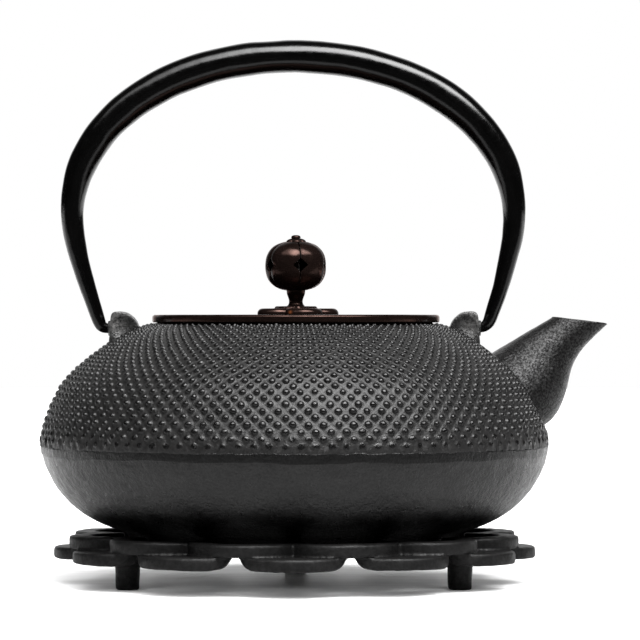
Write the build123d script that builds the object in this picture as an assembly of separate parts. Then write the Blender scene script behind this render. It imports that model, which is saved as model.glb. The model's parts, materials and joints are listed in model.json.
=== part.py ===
from build123d import *
from math import cos, hypot, radians, sin
import os

# A flat round cast-iron kettle: cast body with spout and lugs, forged bail handle,
# copper lid with an openwork bud knob, and a two-tier flower trivet with three feet.
# Millimetres. +Z is up, +X points from the body to the spout, z = 0 is the table.
# The origin is on the table, halfway between the spout's tip and the back of the body.

# --- kettle body -------------------------------------------------------------------
BASE_Z = 16.2            # the kettle's foot ring stands here, in the trivet's seat
PARTING_Z = 49.8         # line round the widest part, where the mould halves met
LIP_TOP_Z = 94.7
BELLY_R = 92.0
SPOUT_REACH = 113.2      # from the body's axis to the spout's tip
AXIS_X = (BELLY_R - SPOUT_REACH) / 2
WALL = 3.0
LIP_OUTER_R = 50.4
LIP_HEIGHT = 0.8
MOUTH_R = 44.5
FOOT_RING_R = 60.0
FOOT_RING_WIDTH = 7.5
FOOT_RECESS = 1.2
FOOT_ROUND = 0.8

# Radius and height of the body's outer surface, from the lip out to the belly ...
SHOULDER = [(LIP_OUTER_R, 93.9), (56.0, 92.6), (70.0, 84.8), (84.0, 71.9), (89.4, 61.0)]
# ... and from the belly down to the foot ring.
BELLY = [(90.0, 41.9), (84.9, 33.2), (78.2, 26.7), (70.5, 22.3), (62.2, 19.3)]

# --- spout: each section is an oval from a top point to an underside point ----------
# (top x, top z, underside x, underside z, half-width), x from the body's axis
SPOUT_SECTIONS = [
    (66.0, 79.5, 82.0, 54.0, 15.0),
    (72.4, 84.0, 92.9, 59.5, 13.6),
    (78.5, 87.7, 98.2, 70.5, 10.8),
    (85.0, 91.6, 100.4, 79.6, 8.6),
    (90.0, 94.6, 105.0, 86.2, 7.2),
    (93.8, 96.9, SPOUT_REACH, 94.5, 6.3),
]
SPOUT_WALL_AT_BODY = 3.0
SPOUT_WALL_AT_TIP = 1.7
OVERCUT = 1.0                # cutting tools run this far past a face

# --- lugs that carry the handle ------------------------------------------------------
PIVOT_Z = 92.6
LUG_FACE_X = 66.9
LUG_TOP_Z = 98.5
LUG_ROOT_Z = 80.0            # buried in the shoulder
LUG_WIDTH = 12.5
LUG_EDGE_ROUND = 1.2
# Outline of the hump, as (distance in from the outer face, depth below its top)
LUG_HUMP = [(0.4, 1.6), (1.7, 0.2), (4.7, 0.0), (8.4, 2.0), (10.6, 5.8)]
LUG_FACE_FLARE = 0.3         # the outer face leans out by this much at its root
SCOOP_BALL_R = 7.5
SCOOP_DEPTH = 1.3
SCOOP_X = 62.6
SCOOP_Z = 92.8
BOSS_R = 2.6
BOSS_HEIGHT = 0.6
LUG_HOLE_DEPTH = 6.6

# --- handle --------------------------------------------------------------------------
HANDLE_MID_TOP_Z = 191.4     # centre line at the top of the loop
HANDLE_MID_WIDE_Z = 133.4    # height where the loop is widest
HANDLE_MID_R = 80.2          # half-width of the loop there, to the centre line
HANDLE_POWER = 2.08          # slightly squarer than an ellipse
HANDLE_STATIONS = (90, 75, 60, 45, 30, 15, 2)    # degrees round the loop's quarter
# Centre line of the arm below the widest point, down to the bend above the hook
HANDLE_ARM = [(79.2, 124.0), (77.3, 115.9), (74.6, 106.5), (71.5, 97.0), (70.7, 94.9)]
HANDLE_BEND_END_X = 67.6     # the bend ends here, lying along the pivot
# Section size along the half loop: (share of the length, thickness across, width along Y)
HANDLE_SECTIONS = [
    (0.00, 11.6, 13.1),
    (0.10, 11.9, 13.0),
    (0.25, 12.0, 12.9),
    (0.38, 11.9, 12.6),
    (0.50, 11.3, 12.0),
    (0.58, 10.2, 11.0),
    (0.66, 8.7, 9.3),
    (0.75, 7.3, 7.7),
    (0.84, 6.0, 6.3),
    (0.91, 5.1, 5.3),
    (0.955, 4.2, 4.3),
    (0.985, 3.1, 3.1),
    (1.00, 2.7, 2.7),
]
PIN_R = 1.35
PIN_CLEARANCE = 0.10
PIN_END_GAP = 0.4

# --- lid -----------------------------------------------------------------------------
LID_R = 51.9
LID_RIM_HEIGHT = 2.8
LID_TOP_ROUND = 0.9
LID_FOOT_ROUND = 0.6
LID_SHEET = 1.6
LID_RIM_WIDTH = 2.0
COLLAR_GAP = 0.6
COLLAR_SHEET = 1.4
COLLAR_HEIGHT = 7.0

# --- knob ----------------------------------------------------------------------------
PETALS = 5
PETAL_TURN = -81.6           # the first gap between petals, from +X, as the knob sits
SEAT_TURN = 0.0              # one lobe of the seat points at the spout
SEAT_R = 15.1
SEAT_LOBE_R = 7.2
SEAT_HEIGHT = 2.0
SEAT_DISC_R = 7.5
SEAT_DISC_HEIGHT = 1.1
SEAT_LOBE_ROUND = 1.2
SMALL_ROUND = 0.6            # on the knob's small discs
STEM_HEIGHT = 5.5
STEM_TOP_R = 3.25
STEM_WAIST_R = 2.45
STEM_FOOT_R = 3.3
STEM_WAIST_SHARE = 0.45      # of the stem's height, up to its waist
BALL_R = 11.15
BALL_HALF_HEIGHT = 9.1
BALL_POWER = 2.5
BALL_SHEET = 0.9
BALL_STATIONS = (90, 70, 50, 30, 10, -10, -30, -50, -70, -90)
WINDOW_SIDE = 3.9
SLIT_WIDTH = 0.5
SLIT_SHARE = 1.2             # slit height above the middle, as a share of half the bud
CAP_R = 3.5
CAP_LOBE_R = 1.5
CAP_HEIGHT = 1.1
ROD_R = 1.2
ROD_CLEARANCE = 0.05
BUTTON_R = 1.6
BUTTON_HEIGHT = 1.0
WASHER_R = 7.0
WASHER_HEIGHT = 1.2
RIVET_HEAD_R = 2.6
RIVET_HEAD_HEIGHT = 1.2

# --- trivet --------------------------------------------------------------------------
LOBES = 12
UPPER_CENTRE_R = 62.0
UPPER_LOBE_R = 20.8
LOWER_CENTRE_R = 66.4
LOWER_LOBE_R = 21.0
LOWER_Z = 10.0
TIER_Z = 13.9
UPPER_TOP_Z = 18.5
SEAT_RECESS_R = 61.6         # the kettle's foot ring stands inside this shallow recess
OPENING_R = 13.0
CENTRE_OPENING_R = 38.0
LOBE_ROUND = 1.1
HOLE_EASE = 0.8
NOTCH_R = 76.2
NOTCH_ARC_R = 7.9
NOTCH_HALF_WIDTH = 8.3       # half the gap between two lower lobes' flat undersides
NOTCH_INNER_R = 52.0
NOTCH_OUTER_R = 92.0
TRIVET_FEET = 3
TRIVET_FOOT_R = 4.2
TRIVET_FOOT_TOP_R = 4.6
TRIVET_FOOT_CENTRE_R = 68.0
TRIVET_FOOT_ROUND = 0.6

FULL_TURN = 360.0


def unit(x, z):
    length = hypot(x, z)
    return x / length, z / length


def inset(points, depth):
    """The points of an outline, moved inwards square to it by depth."""
    moved = []
    for i, (r, z) in enumerate(points):
        before = points[max(i - 1, 0)]
        after = points[min(i + 1, len(points) - 1)]
        along_r, along_z = unit(after[0] - before[0], after[1] - before[1])
        moved.append((r + along_z * depth, z - along_r * depth))
    return moved


def spin(*edges):
    """Revolves a closed outline of (radius, height) edges about the Z axis."""
    return revolve(make_face(Plane.XZ * Wire(edges)), Axis.Z, FULL_TURN)


def stepped(outline):
    """A closed outline of straight edges through (radius, height) points."""
    closed = outline + [outline[0]]
    return [Line(a, b) for a, b in zip(closed, closed[1:])]


def disc(radius, low, high, ease_top=0.0, ease_foot=0.0):
    """A round slab whose edges are eased by quarter-round corners."""
    body = Pos(0, 0, (low + high) / 2) * Cylinder(radius, high - low)
    if ease_top:
        body = fillet(body.edges().sort_by(Axis.Z)[-1], ease_top)
    if ease_foot:
        body = fillet(body.edges().sort_by(Axis.Z)[0], ease_foot)
    return body


def around(count, radius, first=0.0):
    """Places spaced evenly round the Z axis, each turned to face outwards."""
    for i in range(count):
        yield Rot(0, 0, first + FULL_TURN * i / count) * Pos(radius, 0, 0)


# --- kettle body ---------------------------------------------------------------------


def outer_points():
    return SHOULDER + [(BELLY_R, PARTING_Z)] + BELLY


def inner_curve():
    """The cavity's outline from under the lip down to the floor."""
    inner = inset(outer_points(), WALL)[1:-1]
    start = (MOUTH_R, LIP_TOP_Z - LIP_HEIGHT - WALL)
    floor = (FOOT_RING_R - WALL, BASE_Z + FOOT_RECESS + WALL)
    return Spline(start, *inner, floor, tangents=[(1, -0.15), (-1, -0.1)])


def cavity():
    curve = inner_curve()
    floor_z = (curve @ 1).Y
    top_z = (curve @ 0).Y
    edges = [curve, Line(curve @ 1, (0, floor_z)), Line((0, floor_z), (0, top_z))]
    return spin(*edges, Line((0, top_z), curve @ 0))


def shell():
    """The body of revolution: wall, floor, foot ring and raised lip."""
    inner = inner_curve()
    start, end = inner @ 0, inner @ 1
    ring_in = FOOT_RING_R - FOOT_RING_WIDTH
    shoulder = Spline(*SHOULDER, (BELLY_R, PARTING_Z), tangents=[(1, -0.12), (0, -1)])
    belly = Spline((BELLY_R, PARTING_Z), *BELLY, tangents=[(0, -1), (-1, -0.3)])
    foot = [
        BELLY[-1],
        (FOOT_RING_R, BASE_Z + FOOT_ROUND),
        (FOOT_RING_R - FOOT_ROUND, BASE_Z),
        (ring_in, BASE_Z),
        (ring_in - FOOT_RECESS, BASE_Z + FOOT_RECESS),
        (0, BASE_Z + FOOT_RECESS),
        (0, end.Y),
        (end.X, end.Y),
    ]
    lip = [
        (start.X, start.Y),
        (MOUTH_R, LIP_TOP_Z),
        (LIP_OUTER_R - LIP_HEIGHT, LIP_TOP_Z),
        SHOULDER[0],
    ]
    lines = [Line(a, b) for a, b in zip(foot, foot[1:])]
    lines += [Line(a, b) for a, b in zip(lip, lip[1:])]
    return spin(shoulder, belly, inner, *lines)


def spout_section(top_x, top_z, under_x, under_z, half_width, wall=0.0):
    length = hypot(under_x - top_x, under_z - top_z)
    along = ((under_x - top_x) / length, 0, (under_z - top_z) / length)
    middle = ((top_x + under_x) / 2, 0, (top_z + under_z) / 2)
    plane = Plane(origin=middle, x_dir=along, z_dir=(-along[2], 0, along[0]))
    return plane * Ellipse(length / 2 - wall, half_width - wall)


def spout():
    return loft([spout_section(*s) for s in SPOUT_SECTIONS])


def spout_bore():
    last = len(SPOUT_SECTIONS) - 1
    sections = []
    for i, s in enumerate(SPOUT_SECTIONS):
        wall = SPOUT_WALL_AT_BODY + (SPOUT_WALL_AT_TIP - SPOUT_WALL_AT_BODY) * i / last
        sections.append(spout_section(*s, wall=wall))
    mouth = SPOUT_SECTIONS[-1]
    raised = (mouth[0], mouth[1] + OVERCUT, mouth[2], mouth[3] + OVERCUT)
    sections[-1] = spout_section(*raised, mouth[4], wall=SPOUT_WALL_AT_TIP)
    return loft(sections)


def lug():
    """One lug on the +X side: a hump with hollowed flanks and a bored outer face."""
    hump = [(LUG_FACE_X - inwards, LUG_TOP_Z - below) for inwards, below in LUG_HUMP]
    root_out = (LUG_FACE_X + LUG_FACE_FLARE, LUG_ROOT_Z)
    root_in = (hump[-1][0], LUG_ROOT_Z)
    sides = [Line(root_out, hump[0]), Line(hump[-1], root_in), Line(root_in, root_out)]
    block = extrude(make_face(Plane.XZ * Wire([Spline(*hump), *sides])), LUG_WIDTH / 2, both=True)
    flanks = block.edges().filter_by(lambda e: abs(abs(e.center().Y) - LUG_WIDTH / 2) < 0.01)
    block = fillet(flanks.filter_by(lambda e: e.center().Z > LUG_ROOT_Z + 1), LUG_EDGE_ROUND)
    scoop_y = LUG_WIDTH / 2 + SCOOP_BALL_R - SCOOP_DEPTH
    for side in (-1, 1):
        block -= Pos(SCOOP_X, side * scoop_y, SCOOP_Z) * Sphere(SCOOP_BALL_R)
    boss_length = BOSS_HEIGHT + WALL
    boss_x = LUG_FACE_X + BOSS_HEIGHT - boss_length / 2
    return block + Pos(boss_x, 0, PIVOT_Z) * (Rot(0, 90, 0) * Cylinder(BOSS_R, boss_length))


def lug_hole():
    start, end = LUG_FACE_X - LUG_HOLE_DEPTH, LUG_FACE_X + BOSS_HEIGHT + OVERCUT
    hole = Rot(0, 90, 0) * Cylinder(PIN_R + PIN_CLEARANCE, end - start)
    return Pos((start + end) / 2, 0, PIVOT_Z) * hole


def pot_body():
    hollow = cavity()
    right = lug()
    left = mirror(right, Plane.YZ)
    outside = (spout() - hollow) + (right - hollow) + (left - hollow)
    body = shell() + outside
    body -= spout_bore()
    hole = lug_hole()
    return body - hole - mirror(hole, Plane.YZ)


# --- handle --------------------------------------------------------------------------


def handle_curve():
    """Centre line of half the loop, from the top to the end of the bend."""
    rise = HANDLE_MID_TOP_Z - HANDLE_MID_WIDE_Z
    points = []
    for degrees in HANDLE_STATIONS:
        across = cos(radians(degrees)) if degrees < 90 else 0.0
        x = HANDLE_MID_R * across ** (2 / HANDLE_POWER)
        z = HANDLE_MID_WIDE_Z + rise * sin(radians(degrees)) ** (2 / HANDLE_POWER)
        points.append((x, 0, z))
    points += [(x, 0, z) for x, z in HANDLE_ARM]
    points.append((HANDLE_BEND_END_X, 0, PIVOT_Z))
    return Spline(*points, tangents=[(1, 0, 0), (-1, 0, 0)])


def handle():
    curve = handle_curve()
    sections = []
    for share, thickness, width in HANDLE_SECTIONS:
        plane = Plane(origin=curve @ share, x_dir=(0, 1, 0), z_dir=curve % share)
        sections.append(plane * Ellipse(width / 2, thickness / 2))
    half = sweep(sections=sections, path=curve, multisection=True)
    start, end = HANDLE_BEND_END_X, LUG_FACE_X - LUG_HOLE_DEPTH + PIN_END_GAP
    pin = Pos((start + end) / 2, 0, PIVOT_Z) * (Rot(0, 90, 0) * Cylinder(PIN_R, start - end))
    half = half + pin
    return half + mirror(half, Plane.YZ)


# --- lid and knob --------------------------------------------------------------------

# Heights, each standing on the one before
LID_TOP_Z = LIP_TOP_Z + LID_RIM_HEIGHT
LID_UNDER_Z = LID_TOP_Z - LID_SHEET
SEAT_TOP_Z = LID_TOP_Z + SEAT_HEIGHT + SEAT_DISC_HEIGHT
BALL_Z = SEAT_TOP_Z + STEM_HEIGHT + BALL_HALF_HEIGHT
BALL_TOP_Z = BALL_Z + BALL_HALF_HEIGHT
CAP_TOP_Z = BALL_TOP_Z + CAP_HEIGHT


def rod_hole(low, high):
    return Pos(0, 0, (low + high) / 2) * Cylinder(ROD_R + ROD_CLEARANCE, high - low)


def lid_plate():
    """A sheet disc with a turned-down rim that stands on the mouth's lip."""
    plate = disc(LID_R, LIP_TOP_Z, LID_TOP_Z, LID_TOP_ROUND, LID_FOOT_ROUND)
    hollow = disc(LID_R - LID_RIM_WIDTH, LIP_TOP_Z - OVERCUT, LID_UNDER_Z)
    return plate - hollow - rod_hole(LID_UNDER_Z - OVERCUT, LID_TOP_Z + OVERCUT)


def lid_collar():
    """The ring soldered under the lid, which drops inside the mouth."""
    radius = MOUTH_R - COLLAR_GAP
    low = LID_UNDER_Z - COLLAR_HEIGHT
    ring = disc(radius, low, LID_UNDER_Z, ease_foot=SMALL_ROUND)
    return ring - disc(radius - COLLAR_SHEET, low - OVERCUT, LID_UNDER_Z + OVERCUT)


def lid_washer():
    low = LID_UNDER_Z - WASHER_HEIGHT
    washer = disc(WASHER_R, low, LID_UNDER_Z, ease_foot=SMALL_ROUND)
    return washer - rod_hole(low - OVERCUT, LID_UNDER_Z + OVERCUT)


def knob_seat():
    """A five-lobed flower plate with a raised round centre."""
    low, high = LID_TOP_Z, LID_TOP_Z + SEAT_HEIGHT
    seat = disc(SEAT_R - SEAT_LOBE_R, low, high)
    for place in around(PETALS, SEAT_R - SEAT_LOBE_R, SEAT_TURN):
        seat += place * disc(SEAT_LOBE_R, low, high, ease_top=SEAT_LOBE_ROUND)
    seat += disc(SEAT_DISC_R, low, SEAT_TOP_Z, ease_top=SMALL_ROUND)
    return seat - rod_hole(low - OVERCUT, SEAT_TOP_Z + OVERCUT)


def knob_stem():
    low, high = SEAT_TOP_Z, SEAT_TOP_Z + STEM_HEIGHT
    waist = (STEM_WAIST_R, low + STEM_HEIGHT * STEM_WAIST_SHARE)
    side = Spline((STEM_FOOT_R, low), waist, (STEM_TOP_R, high), tangents=[(-1, 1), (0.8, 1)])
    edges = [side, Line((STEM_TOP_R, high), (0, high)), Line((0, high), (0, low))]
    stem = spin(*edges, Line((0, low), (STEM_FOOT_R, low)))
    return stem - rod_hole(low - OVERCUT, high + OVERCUT)


def ball(radius, half_height):
    """A squared-off ball, flatter at its poles than a true ellipsoid."""
    points = []
    for degrees in BALL_STATIONS:
        c, s = cos(radians(degrees)), sin(radians(degrees))
        r = radius * abs(c) ** (2 / BALL_POWER) if abs(degrees) < 90 else 0.0
        z = half_height * abs(s) ** (2 / BALL_POWER)
        points.append((r, BALL_Z + (z if s > 0 else -z)))
    side = Spline(*points, tangents=[(1, 0), (-1, 0)])
    return spin(side, Line(points[-1], points[0]))


def knob_shell():
    """A hollow bud: petals that meet at the foot, parted by slits and diamond windows."""
    bud = ball(BALL_R, BALL_HALF_HEIGHT)
    bud -= ball(BALL_R - BALL_SHEET, BALL_HALF_HEIGHT - BALL_SHEET)
    slit_height = BALL_HALF_HEIGHT * SLIT_SHARE
    inner_end, outer_end = ROD_R + OVERCUT, BALL_R + OVERCUT
    reach = outer_end - inner_end
    window = Rot(45, 0, 0) * Box(reach, WINDOW_SIDE, WINDOW_SIDE)
    slit = Pos(0, 0, slit_height / 2) * Box(reach, SLIT_WIDTH, slit_height)
    for place in around(PETALS, (inner_end + outer_end) / 2, PETAL_TURN):
        bud -= place * Pos(0, 0, BALL_Z) * (window + slit)
    return bud - rod_hole(BALL_Z - BALL_HALF_HEIGHT - OVERCUT, BALL_TOP_Z + OVERCUT)


def knob_cap():
    """A small flower washer that closes the bud over the petals' tips."""
    cap = disc(CAP_R - CAP_LOBE_R, BALL_TOP_Z, CAP_TOP_Z)
    for place in around(PETALS, CAP_R - CAP_LOBE_R, PETAL_TURN):
        cap += place * disc(CAP_LOBE_R, BALL_TOP_Z, CAP_TOP_Z, ease_top=SMALL_ROUND)
    return cap - rod_hole(BALL_TOP_Z - OVERCUT, CAP_TOP_Z + OVERCUT)


def knob_rivet():
    """The rod that runs from under the lid through the knob to its peened button."""
    washer_low = LID_UNDER_Z - WASHER_HEIGHT
    rod = disc(ROD_R, washer_low - RIVET_HEAD_HEIGHT, CAP_TOP_Z + BUTTON_HEIGHT / 2)
    head = disc(RIVET_HEAD_R, washer_low - RIVET_HEAD_HEIGHT, washer_low, ease_foot=SMALL_ROUND)
    button = disc(BUTTON_R, CAP_TOP_Z, CAP_TOP_Z + BUTTON_HEIGHT, ease_top=SMALL_ROUND)
    return rod + head + button


# --- trivet --------------------------------------------------------------------------


def notch_cutter():
    """Rounds a lower lobe's underside up towards its neighbour, along one notch."""
    rise = TIER_Z - LOWER_Z
    top_half = NOTCH_HALF_WIDTH - (NOTCH_ARC_R**2 - (NOTCH_ARC_R - rise) ** 2) ** 0.5
    faces = []
    for radius in (NOTCH_INNER_R, NOTCH_OUTER_R):
        scale = radius / NOTCH_R
        half, top = NOTCH_HALF_WIDTH * scale, top_half * scale
        plane = Plane(origin=(radius, 0, 0), x_dir=(0, 1, 0), z_dir=(1, 0, 0))
        right = TangentArc((half, LOWER_Z), (top, TIER_Z), tangent=(-1, 0))
        left = TangentArc((-half, LOWER_Z), (-top, TIER_Z), tangent=(1, 0))
        outline = [right, Line((top, TIER_Z), (-top, TIER_Z)), left]
        outline += [Line((-half, LOWER_Z), (-half, LOWER_Z - OVERCUT))]
        outline += [Line((-half, LOWER_Z - OVERCUT), (half, LOWER_Z - OVERCUT))]
        outline += [Line((half, LOWER_Z - OVERCUT), (half, LOWER_Z))]
        faces.append(plane * make_face(Wire(outline)))
    return loft(faces, ruled=True)


def trivet():
    """Two tiers of twelve round petals, the upper turned half a petal from the lower."""
    half_step = FULL_TURN / LOBES / 2
    lower = disc(LOWER_CENTRE_R, LOWER_Z, TIER_Z)
    for place in around(LOBES, LOWER_CENTRE_R):
        lower += place * disc(LOWER_LOBE_R, LOWER_Z, TIER_Z, LOBE_ROUND, LOBE_ROUND)
    cutter = notch_cutter()
    for place in around(LOBES, 0, half_step):
        lower -= place * cutter
    upper = disc(UPPER_CENTRE_R, TIER_Z, UPPER_TOP_Z)
    for place in around(LOBES, UPPER_CENTRE_R, half_step):
        upper += place * disc(UPPER_LOBE_R, TIER_Z, UPPER_TOP_Z, LOBE_ROUND, LOBE_ROUND)
    plate = lower + upper
    hole = disc(OPENING_R, LOWER_Z - OVERCUT, UPPER_TOP_Z + OVERCUT)
    ease_z = UPPER_TOP_Z - HOLE_EASE / 2
    ease = Pos(0, 0, ease_z) * Cone(OPENING_R, OPENING_R + HOLE_EASE, HOLE_EASE)
    for place in around(LOBES, UPPER_CENTRE_R, half_step):
        plate -= place * (hole + ease)
    plate -= disc(SEAT_RECESS_R, BASE_Z, UPPER_TOP_Z + OVERCUT)
    plate -= disc(CENTRE_OPENING_R, LOWER_Z - OVERCUT, UPPER_TOP_Z + OVERCUT)
    foot = Pos(0, 0, TIER_Z / 2) * Cone(TRIVET_FOOT_R, TRIVET_FOOT_TOP_R, TIER_Z)
    foot = fillet(foot.edges().sort_by(Axis.Z)[0], TRIVET_FOOT_ROUND)
    for place in around(TRIVET_FEET, TRIVET_FOOT_CENTRE_R, 90):
        plate += place * foot
    return plate


PIECES = {
    "trivet": trivet,
    "pot_body": pot_body,
    "handle": handle,
    "lid_plate": lid_plate,
    "lid_collar": lid_collar,
    "lid_washer": lid_washer,
    "knob_seat": knob_seat,
    "knob_stem": knob_stem,
    "knob_shell": knob_shell,
    "knob_cap": knob_cap,
    "knob_rivet": knob_rivet,
}

os.makedirs("parts", exist_ok=True)
for node, make in PIECES.items():
    export_step(Pos(AXIS_X, 0, 0) * make(), f"parts/{node}.step")
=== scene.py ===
import json
from math import cos, pi, radians, sin

import bmesh
import bpy
import numpy as np
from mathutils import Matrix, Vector


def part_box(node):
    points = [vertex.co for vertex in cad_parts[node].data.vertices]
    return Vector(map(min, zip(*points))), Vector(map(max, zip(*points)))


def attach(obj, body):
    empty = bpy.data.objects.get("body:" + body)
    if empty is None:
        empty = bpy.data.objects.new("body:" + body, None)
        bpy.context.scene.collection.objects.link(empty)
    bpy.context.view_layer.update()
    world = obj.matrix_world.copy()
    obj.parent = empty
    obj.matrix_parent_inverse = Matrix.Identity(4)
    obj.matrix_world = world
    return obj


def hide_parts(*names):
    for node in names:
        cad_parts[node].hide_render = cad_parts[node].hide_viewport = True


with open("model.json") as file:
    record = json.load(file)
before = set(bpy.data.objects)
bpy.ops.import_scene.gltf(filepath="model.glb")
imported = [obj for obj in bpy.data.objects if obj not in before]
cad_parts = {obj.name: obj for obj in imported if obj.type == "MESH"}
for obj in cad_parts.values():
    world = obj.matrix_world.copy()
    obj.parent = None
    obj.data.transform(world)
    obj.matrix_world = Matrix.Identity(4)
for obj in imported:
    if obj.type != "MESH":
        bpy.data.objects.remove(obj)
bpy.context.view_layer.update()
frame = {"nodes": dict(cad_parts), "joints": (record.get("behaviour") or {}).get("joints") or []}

# Looks of a cast-iron kettle on its trivet. Shapes are worked out in millimetres from the
# body's axis, with z = 0 on the table, and turned into metres of the frame by place().

MM = 0.001
lid_low, lid_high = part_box("lid_plate")
body_low, body_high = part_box("pot_body")
AXIS_X = (lid_low.x + lid_high.x) / 2 / MM


def heights(name):
    """Lowest and highest z of a CAD part, in millimetres."""
    low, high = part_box(name)
    return low.z / MM, high.z / MM


def half_width(name):
    low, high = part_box(name)
    return (high.x - low.x) / 2 / MM


PIVOT_Z = next(j for j in frame["joints"] if j["name"] == "fold_bail")["pos_m"][2] / MM

# --- kettle body, in millimetres
BASE_Z = body_low.z / MM
LIP_TOP_Z = lid_low.z / MM
BELLY_R = body_high.y / MM
SPOUT_REACH = body_high.x / MM - AXIS_X
PARTING_Z = 49.8
WALL = 3.0
MOUTH_R = 44.5
FOOT_RING_R = 60.0
FOOT_RING_WIDTH = 7.5
FOOT_RECESS = 1.2
SHOULDER = [(50.4, 93.9), (56.0, 92.6), (70.0, 84.8), (84.0, 71.9), (89.4, 61.0)]
SHOULDER += [(BELLY_R, PARTING_Z)]
BELLY = [(90.0, 41.9), (84.9, 33.2), (78.2, 26.7), (70.5, 22.3), (62.2, 19.3)]
BAND_TOP_Z = 49.8            # the studs melt away above this plain band ...
BAND_LOW_Z = 46.8            # ... whose lower edge is a fine step

# (top x, top z, underside x, underside z, half-width, wall) of the spout's ovals
SPOUT = [
    (66.0, 79.5, 82.0, 54.0, 20.0, 3.0),
    (72.4, 84.0, 93.2, 59.4, 16.2, 2.8),
    (78.5, 87.7, 98.7, 70.3, 11.8, 2.5),
    (85.0, 91.6, 101.0, 79.4, 8.8, 2.2),
    (90.0, 94.5, 105.3, 86.0, 7.2, 1.9),
    (93.2, 96.4, SPOUT_REACH + 0.4, 94.0, 6.3, 1.7),
]

# painted shade darkens the underside: all of it below the first height, none above the second
UNDERSIDE_SHADE_FULL_Z, UNDERSIDE_SHADE_NONE_Z = 0.0235, 0.0310      # metres

# --- studs
STUDS_PER_RING = 108
ROW_SHARE = 0.485            # row pitch, stud radius and stud height, as shares of the
STUD_R_SHARE = 0.245         # spacing between neighbours in a ring
STUD_HEIGHT_SHARE = 0.20
LAST_ROW_Z = 55.0
SECTORS = 4
SPOUT_FOOT = (17.5, 69.5, 17.0)      # half-width, height of the middle, half-height
STEPS = 8                    # lattice steps from one stud to the next in a ring
ROW_LEVELS = 4               # lattice levels from one ring of studs to the next
SIDES = 16                   # of a stud
RINGS = [(1.10, 0.0), (1.0, 0.10), (0.88, 0.46), (0.66, 0.76), (0.36, 0.94)]

# --- handle
HANDLE_TOP_Z = 191.2
HANDLE_WIDE_Z = 133.4
HANDLE_R = 80.2
HANDLE_POWER = 2.08
HANDLE_ARM = [(79.2, 124.0), (77.3, 115.9), (74.6, 106.5)]
BEND_RIGHT = [(71.35, 97.0), (70.5, 94.9), (69.0, 93.35), (66.9, PIVOT_Z + 0.05), (61.0, PIVOT_Z)]
BEND_LEFT = [(71.6, 97.0), (70.85, 94.9), (69.95, 93.4), (68.5, PIVOT_Z + 0.1), (61.0, PIVOT_Z)]
# (share of the half loop's length, thickness, width along Y)
HANDLE_SECTIONS = [
    (0.00, 11.65, 13.1), (0.10, 12.0, 13.0), (0.22, 12.1, 12.9), (0.36, 12.1, 12.7),
    (0.46, 11.6, 12.4), (0.52, 11.3, 12.0), (0.58, 10.3, 11.1), (0.65, 8.9, 9.6),
    (0.74, 7.55, 8.0), (0.81, 6.55, 6.8), (0.86, 5.85, 6.0), (0.90, 5.3, 5.4),
    (0.925, 4.9, 4.9), (0.945, 4.2, 4.2), (0.962, 3.2, 3.2), (0.975, 2.7, 2.7), (1.00, 2.7, 2.7),
]
HANDLE_LEAN = -0.5           # the loop sits this far to the left of the hooks

# --- lugs
LUG_FACE_X = 66.9
LUG_WIDTH = 12.5
SCOOP_BALL_R = 7.5
SCOOP_DEPTH = 1.3

# --- lid and knob
LID_SHIFT = 0.5              # the lid lies this far to the right within its play
LID_R = half_width("lid_plate")
LID_TOP_Z = lid_high.z / MM
LID_SHEET = 1.6
PETALS = 5
PETAL_TURN = -81.6
SEAT_R = 15.1
SEAT_LOBE_R = 7.2
BALL_R = 11.15
BALL_LOW_Z, BALL_HIGH_Z = heights("knob_shell")
BALL_Z = (BALL_LOW_Z + BALL_HIGH_Z) / 2
BALL_HALF_HEIGHT = (BALL_HIGH_Z - BALL_LOW_Z) / 2
BALL_POWER = 2.5

# --- trivet
TIER_Z = 13.9


# ============================== Numbers and curves


def fade(t):
    """Smooth 0 to 1 step."""
    t = np.clip(t, 0.0, 1.0)
    return t * t * (3 - 2 * t)


def lattice_noise(points, size, seed):
    """Smooth noise from -1 to 1 at points (n x 3), with features about size across."""
    p = np.asarray(points, float) / size
    cell = np.floor(p).astype(np.int64)
    f = p - cell
    f = f * f * f * (f * (f * 6 - 15) + 10)
    total = np.zeros(len(p))
    for corner in np.ndindex(2, 2, 2):
        c = cell + corner
        h = (c[:, 0] * 73856093) ^ (c[:, 1] * 19349663) ^ (c[:, 2] * 83492791) ^ (seed * 40503)
        h = ((h ^ (h >> 13)) * 1274126177) & 0x7FFFFFFF
        h = ((h ^ (h >> 15)) * 2246822519) & 0x7FFFFFFF
        value = ((h >> 7) & 0xFFFF) / 32767.5 - 1
        weight = np.prod(np.where(np.array(corner) == 1, f, 1 - f), axis=1)
        total += value * weight
    return total


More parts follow.
